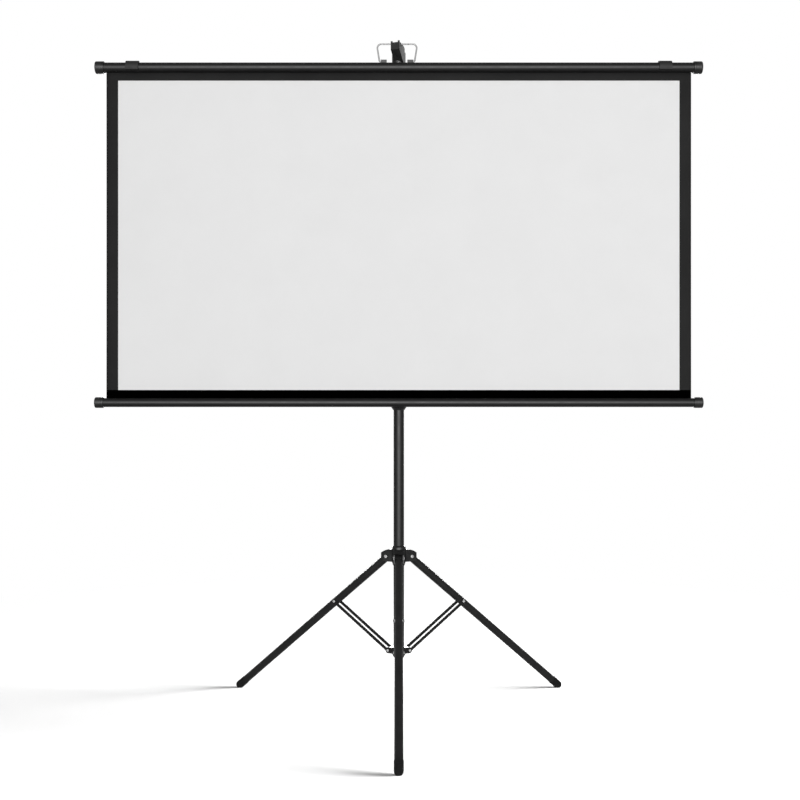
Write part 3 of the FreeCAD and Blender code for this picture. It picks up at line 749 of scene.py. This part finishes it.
@dataclass
class SlottedTube:
    """A tube along X with a slot for the cloth, and its two end caps with rounded rims."""

    shop: Workshop
    node: str
    caps: tuple[str, str]
    wall: float
    slot_width: float
    slot_turn: float
    arc_steps: int = 96
    cap_steps: int = 72
    rim: float = 3.2 * MM
    rim_steps: int = 10
    lip: float = 1.2 * MM
    lip_steps: int = 6
    seat: float = 0.05 * MM
    cup_share: float = 0.72
    groove: float = 0.5 * MM
    groove_rims: Pair = (4.2 * MM, 5.4 * MM)
    groove_floor: Pair = (4.5 * MM, 5.1 * MM)
    dish: float = 0.9 * MM
    dish_slope: Pair = (1.8, 2.1)

    def build(self) -> None:
        """The tube and its caps."""
        low, high = np.array(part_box(self.node))
        middle = (low + high) / 2
        radius = (high[1] - low[1]) / 2
        axis = Axis.from_to((low[0], middle[1], middle[2]), (high[0], middle[1], middle[2]))
        mesh = Shapes.prism(self.section(radius), axis, high[0] - low[0])
        self.shop.publish(f"{self.node}_coated", mesh, [self.node], Slot.METAL, sharp=50)
        for cap in self.caps:
            self.cap(cap, radius)

    def section(self, radius: float) -> np.ndarray:
        """The slotted ring: the outer arc one way and the inner arc back.

        Args:
            radius: Outer radius.

        Returns:
            The outline across and up.
        """
        inner = radius - self.wall
        half, half_in = (rise_angle(self.slot_width / 2, reach) for reach in (radius, inner))
        first, last = self.slot_turn, self.slot_turn + 360
        return np.concatenate([arc((0, 0), radius, first + half, last - half, self.arc_steps),
                               arc((0, 0), inner, last - half_in, first + half_in, self.arc_steps)])

    def cap(self, node: str, bore: float) -> None:
        """A cup with a rounded rim, a groove near its mouth and a shallow dish in its end.

        Args:
            node: The cap's node.
            bore: Radius of the tube that it covers.
        """
        low, high = np.array(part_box(node))
        middle = (low + high) / 2
        outward = 1 if middle[0] > 0 else -1
        mouth = low[0] if outward > 0 else high[0]
        length = high[0] - low[0]
        rim = (high[1] - low[1]) / 2
        axis = Axis.from_to((mouth, middle[1], middle[2]), (mouth + outward, middle[1], middle[2]))
        edge, inner, floor = self.rim, bore + self.seat, self.cup_share * length
        trough, end = rim - self.groove, length - self.dish
        profile = np.concatenate([
            np.array([[inner, floor], [inner, 0.0]]),
            arc((rim - self.lip, self.lip), self.lip, -90, 0, self.lip_steps),
            np.array([[rim, self.groove_rims[0]], [trough, self.groove_floor[0]],
                      [trough, self.groove_floor[1]], [rim, self.groove_rims[1]]]),
            arc((rim - edge, length - edge), edge, 0, 90, self.rim_steps),
            np.array([[rim - self.dish_slope[0] * edge, length], [rim - self.dish_slope[1] * edge, end],
                      [ON_AXIS, end], [ON_AXIS, floor]])])
        mesh = Shapes.lathe(profile, axis, self.cap_steps, closed=True)
        self.shop.publish(f"{node}_moulded", mesh, [node], Slot.PLASTIC, sharp=35)


@dataclass
class BarClip:
    """A C-shaped clip that snaps over the top bar, with a lip along its front edge."""

    shop: Workshop
    plastic: Material
    gap: float = 0.3 * MM
    wall: float = 4.8 * MM
    low: float = 9.4 * MM
    lip: float = 1.6 * MM
    lip_out: float = 1.4 * MM
    bevel: float = 0.5 * MM
    arc_steps: int = 40

    def build(self, side: Side) -> None:
        """One clip.

        Args:
            side: Which end of the bar it sits near.
        """
        node = f"bar_clip_{side.name.lower()}"
        low, high = np.array(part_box(node))
        bar_low, bar_high = np.array(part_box("top_bar"))
        bar = (bar_low + bar_high) / 2
        radius = (bar_high - bar_low)[1] / 2
        axis = Axis.from_to((low[0], bar[1], bar[2]), (high[0], bar[1], bar[2]))
        mesh = Shapes.prism(self.section(radius), axis, high[0] - low[0])
        piece = self.shop.publish(f"{node}_moulded", mesh, [node], Slot.PLASTIC, self.bevel, sharp=30)
        piece.data.materials[0] = self.plastic

    def section(self, bar: float) -> np.ndarray:
        """The clip's C, as an outer arc over the bar, a front lip and an inner arc back.

        Args:
            bar: The bar's radius.

        Returns:
            The outline, from the rear end over the top to the front and back inside.
        """
        inner, outer = bar + self.gap, bar + self.wall
        end_in, end_out = (rise_angle(self.low, reach) for reach in (inner, outer))
        lip_top = self.low - self.lip
        front = -math.sqrt(outer ** 2 - lip_top ** 2) - self.lip_out
        outside = arc((0, 0), outer, -end_out, 180 + rise_angle(lip_top, outer), self.arc_steps)
        lip = np.array([[front, -self.low + self.lip], [front, -self.low]])
        inside = arc((0, 0), inner, 180 + end_in, -end_in, self.arc_steps)
        return np.concatenate([outside, lip, inside])


@dataclass
class BailAndHook:
    """The wire bail in its lugs, and the hook head that it hangs on."""

    shop: Workshop
    wire: float = 4.5 * MM
    wire_steps: int = 24
    shift: float = 5.0 * MM
    foot_half: float = 50.2 * MM
    top_half: float = 57.9 * MM
    tip_half: float = 31.0 * MM
    rise: float = 49.6 * MM
    foot_bend: float = 4.0 * MM
    top_bend: float = 11.0 * MM
    bend_steps: int = 9
    lug_bevel: float = 0.6 * MM
    hook_bevel: float = 0.8 * MM

    def build(self) -> None:
        """The bail, the lugs and the hook head."""
        low, high = np.array(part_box("bail"))
        base = np.array([-self.shift, (low[1] + high[1]) / 2, low[2] + self.wire / 2])
        corners = [(self.tip_half, 0.0), (self.foot_half, 0.0), (self.top_half, self.rise),
                   (-self.top_half, self.rise), (-self.foot_half, 0.0), (-self.tip_half, 0.0)]
        bends = [self.foot_bend, self.top_bend, self.top_bend, self.foot_bend]
        flat = self.rounded(np.array(corners), bends)
        path = base + np.stack([flat[:, 0], np.zeros(len(flat)), flat[:, 1]], axis=1)
        mesh = Shapes.sweep(path, self.wire / 2, self.wire_steps)
        self.shop.publish("bail_wire", mesh, ["bail"], Slot.WIRE)
        self.shop.rounded_copy("bail_lugs_moulded", "bail_lugs", Slot.PLASTIC, self.lug_bevel)
        self.shop.rounded_copy("hook_head_moulded", "hook_head", Slot.PLASTIC, self.hook_bevel)

    def rounded(self, corners: np.ndarray, bends: Sequence[float]) -> np.ndarray:
        """Straight runs with a tangent arc at each inner corner, centred on the line that halves it.

        Args:
            corners: The corner points.
            bends: Radius at each inner corner.

        Returns:
            Points along the rounded line.
        """
        points = [corners[:1]]
        share = np.linspace(0, 1, self.bend_steps)[:, None]
        for before, corner, after, bend in zip(corners, corners[1:], corners[2:], bends):
            back = (before - corner) / np.linalg.norm(before - corner)
            ahead = (after - corner) / np.linalg.norm(after - corner)
            half = math.acos(float(np.clip(back @ ahead, -1, 1))) / 2
            sine, cosine = math.sin(half), math.cos(half)
            middle = (back + ahead) / np.linalg.norm(back + ahead)
            centre = corner + middle * bend / sine
            first, last = (-middle * sine + (run - middle * cosine) / sine * cosine for run in (back, ahead))
            mixed = first * (1 - share) + last * share
            points.append(centre + bend * mixed / np.linalg.norm(mixed, axis=1)[:, None])
        points.append(corners[-1:])
        return np.concatenate(points)


@dataclass
class Mast:
    """The telescoping mast, its bracket, upper clamp, foot plug and knobs, and the case's screws."""

    shop: Workshop
    coat: Material
    walls: dict[str, float] = field(default_factory=lambda: {
        "mast_outer_tube": 1.9 * MM, "mast_middle_tube": 1.5 * MM, "mast_inner_tube": 1.5 * MM})
    bevels: dict[str, float] = field(default_factory=lambda: {
        "mast_bracket": 1.0 * MM, "upper_clamp_collar": 0.8 * MM, "mast_foot_plug": 0.8 * MM,
        "lower_clamp_knob": 0.7 * MM, "upper_clamp_knob": 0.7 * MM, "hub_lock_knob": 0.7 * MM})
    screw_bevel: float = 0.4 * MM
    steps: int = 72

    def build(self) -> None:
        """Every piece of the mast."""
        for node, wall in self.walls.items():
            self.tube(node, wall, Slot.STEEL if node == "mast_inner_tube" else Slot.METAL)
        for node, bevel in self.bevels.items():
            self.shop.rounded_copy(f"{node}_moulded", node, Slot.PLASTIC, bevel)
        self.shop.rounded_copy("case_screws_plated", "case_screws", Slot.RIVET, self.screw_bevel)

    def tube(self, node: str, wall: float, slot: Slot) -> None:
        """An upright tube with broken rims: a thin closed profile turned about the mast's axis.

        Args:
            node: The tube's node.
            wall: Its wall.
            slot: Its finish.
        """
        low, high = np.array(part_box(node))
        axis = Axis.from_to((0, 0, low[2]), (0, 0, high[2]), across=(1, 0, 0))
        profile = tube_profile((high[0] - low[0]) / 2, wall, 0.0, high[2] - low[2])
        mesh = Shapes.lathe(profile, axis, self.steps, closed=True)
        piece = self.shop.publish(f"{node}_coated", mesh, [node], slot, sharp=35)
        if slot is Slot.METAL:
            piece.data.materials[0] = self.coat


@dataclass
class Tripod:
    """Hub, legs, feet, struts, collar and rivets."""

    shop: Workshop
    coat: Material
    pivot_r: float = 36.0 * MM
    pivot_z: float = 445.4 * MM
    foot_r: float = 572.0 * MM
    foot_z: float = 9.0 * MM
    leg_od: float = 22.4 * MM
    leg_wall: float = 1.2 * MM
    leg_start: float = 12.0 * MM
    leg_steps: int = 56
    foot_od: float = 24.4 * MM
    foot_rim: float = 0.4 * MM
    foot_step: float = 1.2 * MM
    foot_wall: float = 3.0 * MM
    foot_cup: float = 26.0 * MM
    foot_lip: float = 0.8 * MM
    foot_lip_steps: int = 5
    foot_end: float = 89.9
    foot_end_steps: int = 19
    grip: float = 0.5 * MM
    grip_shares: Pair = (0.45, 0.62)
    shoulder_steps: int = 4
    strut_on_leg: float = 229.0 * MM
    strut_width: float = 9.0 * MM
    strut_thick: float = 2.0 * MM
    strut_side: float = 12.3 * MM
    strut_end_steps: int = 14
    collar_r: float = 29.0 * MM
    collar_z: float = 175.3 * MM
    rivet_od: float = 6.0 * MM
    hub_head_od: float = 9.6 * MM
    strut_head_od: float = 8.0 * MM
    rivet_head: float = 1.8 * MM
    rivet_crown: float = 89.0
    rivet_crown_steps: int = 9
    rivet_steps: int = 28
    clevis_half: float = 14.5 * MM
    seat: float = 0.05 * MM
    hub_bevel: float = 1.0 * MM
    collar_bevel: float = 0.8 * MM
    head_bevel: float = 0.8 * MM
    bush_bevel: float = 0.3 * MM
    strut_bevel: float = 0.4 * MM

    def build(self) -> None:
        """Every piece of the tripod."""
        self.shop.rounded_copy("hub_moulded", "hub", Slot.PLASTIC, self.hub_bevel)
        self.shop.rounded_copy("lower_collar_moulded", "lower_collar", Slot.PLASTIC, self.collar_bevel)
        for place in LegPlace:
            self.leg(place)
            self.foot(place)
            self.strut(place)
        self.rivets("hub_rivets", self.pivot_r, self.pivot_z, self.clevis_half + self.seat, self.hub_head_od)
        self.rivets("collar_rivets", self.collar_r, self.collar_z,
                    self.strut_side + self.strut_thick + self.seat, self.strut_head_od)

    @staticmethod
    def radial(place: LegPlace) -> tuple[np.ndarray, np.ndarray]:
        """The level unit vectors out along a leg and across it."""
        sine, cosine = (wave(math.radians(place.value)) for wave in (math.sin, math.cos))
        return np.array([cosine, sine, 0.0]), np.array([-sine, cosine, 0.0])

    def axes(self, place: LegPlace) -> tuple[Axis, Axis]:
        """The frames of a leg, from the hub pivot to the foot's round end, and of its strut, from the collar.

        Args:
            place: The leg.

        Returns:
            The leg's frame and the strut's.
        """
        out, across = self.radial(place)
        hub, foot, collar = (out * reach + np.array([0, 0, height]) for reach, height in (
            (self.pivot_r, self.pivot_z), (self.foot_r, self.foot_z), (self.collar_r, self.collar_z)))
        leg = Axis.from_to(hub, foot, across)
        return leg, Axis.from_to(collar, leg.origin + leg.along * self.strut_on_leg, across)

    def leg(self, place: LegPlace) -> None:
        """A leg: its tube as a thin closed profile turned about the leg's axis, its head and its bush.

        Args:
            place: The leg.
        """
        axis, _ = self.axes(place)
        profile = tube_profile(self.leg_od / 2, self.leg_wall, self.leg_start, axis.length - self.foot_wall)
        node = f"leg_{place.name.lower()}"
        mesh = Shapes.lathe(profile, axis, self.leg_steps, closed=True)
        piece = self.shop.publish(f"{node}_coated", mesh, [node], Slot.METAL, sharp=35)
        piece.data.materials[0] = self.coat
        head = f"leg_head_{place.name.lower()}"
        self.shop.rounded_copy(f"{head}_moulded", head, Slot.PLASTIC, self.head_bevel)
        bush = f"leg_bush_{place.name.lower()}"
        self.shop.rounded_copy(f"{bush}_plated", bush, Slot.RIVET, self.bush_bevel)

    def foot(self, place: LegPlace) -> None:
        """A rubber tip: a cup with a rounded mouth, two grooves and a round end, pressed flat on the floor.

        Args:
            place: The leg that it ends.
        """
        axis, _ = self.axes(place)
        length, radius, bore = axis.length, self.foot_od / 2, self.leg_od / 2 + self.seat
        dome = radius - self.foot_rim
        turn = np.radians(np.linspace(-rise_angle(self.foot_step, dome), self.foot_end, self.foot_end_steps))
        low = length - self.foot_wall - self.foot_cup
        floor = length - self.foot_wall + self.seat
        lip, grip, bend = self.foot_lip, self.grip, self.grip / 2
        grips = []
        for share in self.grip_shares:
            middle = low + share * self.foot_cup
            grips.append(np.array([[radius, middle - 2 * grip], [radius - grip, middle - grip],
                                   [radius - grip, middle + grip], [radius, middle + 2 * grip]]))
        profile = np.concatenate([
            np.array([[bore, floor], [bore, low]]),
            arc((radius - lip, low + lip), lip, -90, 0, self.foot_lip_steps), *grips,
            arc((radius - bend, length - self.foot_step - bend), bend, 0, 90, self.shoulder_steps),
            np.stack([dome * np.cos(turn), length + dome * np.sin(turn)], axis=1),
            np.array([[ON_AXIS, length + dome], [ON_AXIS, floor]])])
        points, faces = Shapes.lathe(profile, axis, self.leg_steps, closed=True)
        points[:, 2] = np.maximum(points[:, 2], 0.0)
        node = f"foot_{place.name.lower()}"
        self.shop.publish(f"{node}_rubber", (points, faces), [node], Slot.RUBBER, sharp=35)

    def strut(self, place: LegPlace) -> None:
        """Two flat bars with round ends, and the domed rivet heads at their outer ends.

        Args:
            place: The leg that they prop.
        """
        _, axis = self.axes(place)
        half = self.strut_width / 2
        outline = np.concatenate([arc((axis.length, 0), half, -90, 90, self.strut_end_steps),
                                  arc((0, 0), half, 90, 270, self.strut_end_steps)])
        bars, heads = [], []
        for side in Side:
            inner = side.value * self.strut_side
            outer = inner + side.value * self.strut_thick
            lift = Axis(axis.origin + axis.across * inner, axis.across * side.value, axis.along, axis.up)
            bars.append(Shapes.prism(outline, lift, self.strut_thick))
            head = Axis(axis.origin + axis.across * outer + axis.along * axis.length,
                        axis.across * side.value, axis.along, axis.up)
            heads.append(Shapes.lathe(self.dome(self.strut_head_od), head, self.rivet_steps))
        strut, rivet = f"strut_{place.name.lower()}", f"strut_rivet_{place.name.lower()}"
        self.shop.publish(f"{strut}_coated", Shapes.join(bars), [strut], Slot.METAL, self.strut_bevel, 30)
        self.shop.publish(f"{rivet}_plated", Shapes.join(heads), [rivet], Slot.RIVET, sharp=45)

    def dome(self, width: float) -> np.ndarray:
        """A low rivet head of a width: an ellipse from its rim to its crown, as radius and height."""
        turn = np.radians(np.linspace(0, self.rivet_crown, self.rivet_crown_steps))
        return np.stack([width / 2 * np.cos(turn), self.rivet_head * np.sin(turn)], axis=1)

    def rivets(self, node: str, radius: float, height: float, half: float, width: float) -> None:
        """Three rivets across the leg planes: a shank with a domed head at each end.

        Args:
            node: The rivets' node.
            radius: Distance of the pivots from the mast's axis.
            height: Their height.
            half: Half the width between the heads.
            width: Diameter of the heads.
        """
        crown = self.dome(width)[::-1] + np.array([0.0, half])
        shank = np.array([[self.rivet_od / 2, half], [self.rivet_od / 2, -half]])
        foot = self.dome(width) * np.array([1.0, -1.0]) - np.array([0.0, half])
        profile = np.concatenate([crown, shank, foot])
        shells = []
        for place in LegPlace:
            out, across = self.radial(place)
            axis = Axis(out * radius + np.array([0, 0, height]), across, out, np.array([0.0, 0.0, 1.0]))
            shells.append(Shapes.lathe(profile, axis, self.rivet_steps))
        self.shop.publish(f"{node}_plated", Shapes.join(shells), [node], Slot.RIVET, sharp=45)


@dataclass(frozen=True)
class Lamp:
    """A soft lamp: its place, its width and height, its power in watts and what it points at."""

    name: str
    place: Point
    size: Pair
    power: float
    target: Point = (0.0, 0.0, 1.1)

    def make(self) -> Object:
        """Hang the lamp, turned from straight down by its pitch and then by its yaw.

        Returns:
            The lamp.
        """
        data = bpy.data.lights.new(self.name, "AREA")
        data.shape = "RECTANGLE"
        data.size, data.size_y = self.size
        data.energy = self.power
        lamp = put_in_scene(self.name, data)
        lamp.location = self.place
        direction = np.array(self.target) - np.array(self.place)
        yaw = math.atan2(direction[1], direction[0])
        pitch = math.atan2(math.hypot(direction[0], direction[1]), -direction[2])
        lamp.rotation_euler = (pitch, 0.0, yaw - math.pi / 2)
        return lamp


@dataclass
class Studio:
    """Camera, world, floor and lamps."""

    focal_pixels: float = 1174.5
    frame_pixels: float = 800.0
    sensor: float = 36.0
    clip_end: float = 60.0
    height: float = 0.896
    distance: float = 3.343
    centre_column: float = 398.8
    fabric_y: float = -0.035
    backdrop: float = 1.0
    fill: float = 0.42
    floor_half: float = 14.0
    floor_roughness: float = 0.95
    floor_unseen: float = 0.23
    floor_seen: float = 0.55
    floor_fade: Pair = (1.3, 2.6)
    softbox: Lamp = Lamp("front_softbox", (-0.15, -7.0, 1.75), (0.9, 0.9), 243.0)
    key: Lamp = Lamp("right_key", (16.0, 0.0, 3.0), (8.0, 4.2), 27000.0, target=(0.0, 0.0, 0.0))
    front_gleam: Lamp = Lamp("front_gleam", (0.0, -7.0, 1.75), (5.2, 0.8), 3600.0)
    rear_gleam: Lamp = Lamp("rear_gleam", (0.0, 7.0, 1.75), (5.2, 0.8), 1800.0)
    side_gleam: Lamp = Lamp("side_gleam", (7.0, 1.2, 2.6), (3.0, 3.0), 1850.0)

    def build(self, satin: Sequence[Object]) -> None:
        """Set up the whole studio.

        Args:
            satin: The black pieces that show the long highlights.
        """
        bpy.context.scene.view_settings.view_transform = "Standard"
        self.camera()
        self.world()
        floor = self.floor()
        self.softbox.make()
        self.light_only(self.key.make(), "floor_under_key", [floor])
        hook = [piece for piece in satin if piece.name.startswith("hook_head")]
        for plan, pieces in ((self.front_gleam, satin), (self.rear_gleam, satin), (self.side_gleam, hook)):
            gleam = plan.make()
            gleam.visible_diffuse = False
            self.light_only(gleam, f"satin_under_{plan.name}", pieces)

    @staticmethod
    def light_only(lamp: Object, name: str, pieces: Sequence[Object]) -> None:
        """Let a lamp reach some pieces and nothing else.

        Args:
            lamp: The lamp.
            name: Name of the group of pieces.
            pieces: What it lights.
        """
        group = bpy.data.collections.new(name)
        for piece in pieces:
            group.objects.link(piece)
        lamp.light_linking.receiver_collection = group

    def camera(self) -> None:
        """A level camera in front of the screen."""
        data = bpy.data.cameras.new("photo_camera")
        data.sensor_width = self.sensor
        data.lens = self.focal_pixels / self.frame_pixels * self.sensor
        data.clip_end = self.clip_end
        data.shift_x = (self.frame_pixels / 2 - self.centre_column) / self.frame_pixels
        camera = put_in_scene("photo_camera", data)
        camera.location = (0.0, self.fabric_y - self.distance, self.height)
        camera.rotation_euler = (math.radians(90), 0.0, 0.0)
        bpy.context.scene.camera = camera

    def world(self) -> None:
        """White to the camera and in reflections, and a soft grey light otherwise."""
        world = bpy.data.worlds.new("studio_world")
        world.use_nodes = True
        bpy.context.scene.world = world
        tree = world.node_tree
        sky = tree.nodes["Background"]
        sky.inputs["Color"].default_value = WHITE
        level = tree.nodes.new("ShaderNodeMapRange")
        level.inputs["To Min"].default_value = self.fill
        level.inputs["To Max"].default_value = self.backdrop
        tree.links.new(self.seen_ray(tree), level.inputs["Value"])
        tree.links.new(level.outputs["Result"], sky.inputs["Strength"])

    @staticmethod
    def seen_ray(tree: bpy.types.NodeTree) -> Socket:
        """1 for camera, glossy and transmission rays, else 0.

        Args:
            tree: The node tree to add it to.

        Returns:
            The socket.
        """
        path = tree.nodes.new("ShaderNodeLightPath")
        seen = path.outputs["Is Camera Ray"]
        for output in ("Is Glossy Ray", "Is Transmission Ray"):
            seen = combine(tree, "MAXIMUM", seen, path.outputs[output])
        return seen

    def floor(self) -> Object:
        """A floor that keeps the object's shadow near it, and glows white to the camera further out.

        Returns:
            The floor.
        """
        data = bpy.data.meshes.new("studio_floor")
        far = self.floor_half
        data.from_pydata([(-far, -far, 0), (far, -far, 0), (far, far, 0), (-far, far, 0)], [], [(0, 1, 2, 3)])
        floor = put_in_scene("studio_floor", data)
        bench = NodeBench("studio_floor")
        seen = self.seen_ray(bench.tree)
        bench.shader.inputs["Roughness"].default_value = self.floor_roughness
        bench.shader.inputs["Specular IOR Level"].default_value = 0.0
        reach = bench.add("ShaderNodeVectorMath", operation="LENGTH")
        bench.link(bench.coordinates.outputs["Object"], reach.inputs[0])
        away = reach.outputs["Value"]
        pale = bench.add("ShaderNodeMix", data_type="FLOAT")
        pale.inputs["A"].default_value = self.floor_unseen
        bench.link(seen, pale.inputs["Factor"])
        bench.link(bench.remap(away, self.floor_seen, 0.0, *self.floor_fade), pale.inputs["B"])
        bench.link(pale.outputs["Result"], bench.shader.inputs["Base Color"])
        glow = combine(bench.tree, "MULTIPLY", bench.remap(away, 0.0, 1.0, *self.floor_fade), seen)
        bench.shader.inputs["Emission Color"].default_value = WHITE
        bench.link(glow, bench.shader.inputs["Emission Strength"])
        data.materials.append(bench.material)
        return floor


def main() -> None:
    """Build every piece and then the studio."""
    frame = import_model()
    shop = Workshop(frame)
    shop.finishes = {
        Slot.METAL: PowderCoat().make(),
        Slot.PLASTIC: MouldedPlastic().make(),
        Slot.WIRE: PlatedMetal("bright_wire", level=150.0).make(),
        Slot.RIVET: PlatedMetal("rivet_steel", level=170.0).make(),
        Slot.STEEL: PlatedMetal("drawn_steel", level=172.0).make(),
        Slot.RUBBER: FootRubber().make(),
    }
    cloth = ScreenCloth()
    # The wound cloth takes the foot's black all over: painted shade on the rolled white cloth.
    shop.finishes[Slot.CLOTH] = cloth.make(side=0.0, head=0.0, foot=1.0)
    ScreenSheet(shop, cloth).build()
    SlottedTube(shop, "top_bar", ("bar_cap_left", "bar_cap_right"),
                wall=1.5 * MM, slot_width=3.0 * MM, slot_turn=-90.0).build()
    SlottedTube(shop, "case_tube", ("case_cap_left", "case_cap_right"),
                wall=1.25 * MM, slot_width=2.6 * MM, slot_turn=61.9).build()
    dull = MouldedPlastic("dull_clip_plastic", gloss=(0.66, 0.76)).make()
    for side in Side:
        BarClip(shop, dull).build(side)
    BailAndHook(shop).build()
    coat = PowderCoat("satin_tripod_coat", dark=19.0, pale=26.0).make()
    Mast(shop, coat).build()
    Tripod(shop, coat).build()
    for slot, nodes in HIDDEN.items():
        for node in nodes:
            shop.paint(node, slot)
    Studio().build(shop.satin)


if __name__ == "__main__":
    logging.basicConfig(level=logging.INFO)
    main()
